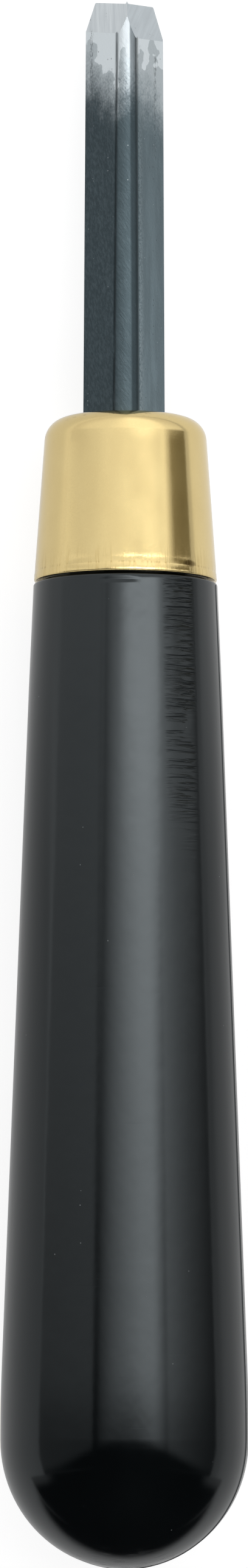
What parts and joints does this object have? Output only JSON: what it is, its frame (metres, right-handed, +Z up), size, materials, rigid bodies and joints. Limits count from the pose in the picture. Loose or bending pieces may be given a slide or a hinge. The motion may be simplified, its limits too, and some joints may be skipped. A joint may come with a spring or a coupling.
{
  "type": "lino cutting tool",
  "caption": "Hand gouge for cutting linoleum: a V-shaped steel blade, ground at the tip, set through a brass ferrule into a tapered black moulded handle with a ball-shaped butt.",
  "frame": {"origin": "on the bench under the tool, at the middle of its box, as it lies on the side of its handle", "axes": "+Y from butt to cutting edge, +Z up with the keel of the V on top, +X to the right seen from above; the tool's own axis dips about 2 degrees towards the cutting edge because the handle tapers"},
  "size_m": [0.0238, 0.153, 0.0239],
  "materials": {
    "handle_plastic": "glossy moulded black",
    "ferrule_brass": "satin polished",
    "blade_steel": "blued shank, ground bright at the tip",
    "wedge_wood": "bare beech"
  },
  "bodies": {
    "root": {"handle": "handle_plastic", "ferrule": "ferrule_brass", "blade": "blade_steel", "tang_wedge": "wedge_wood"}
  },
  "joints": []
}
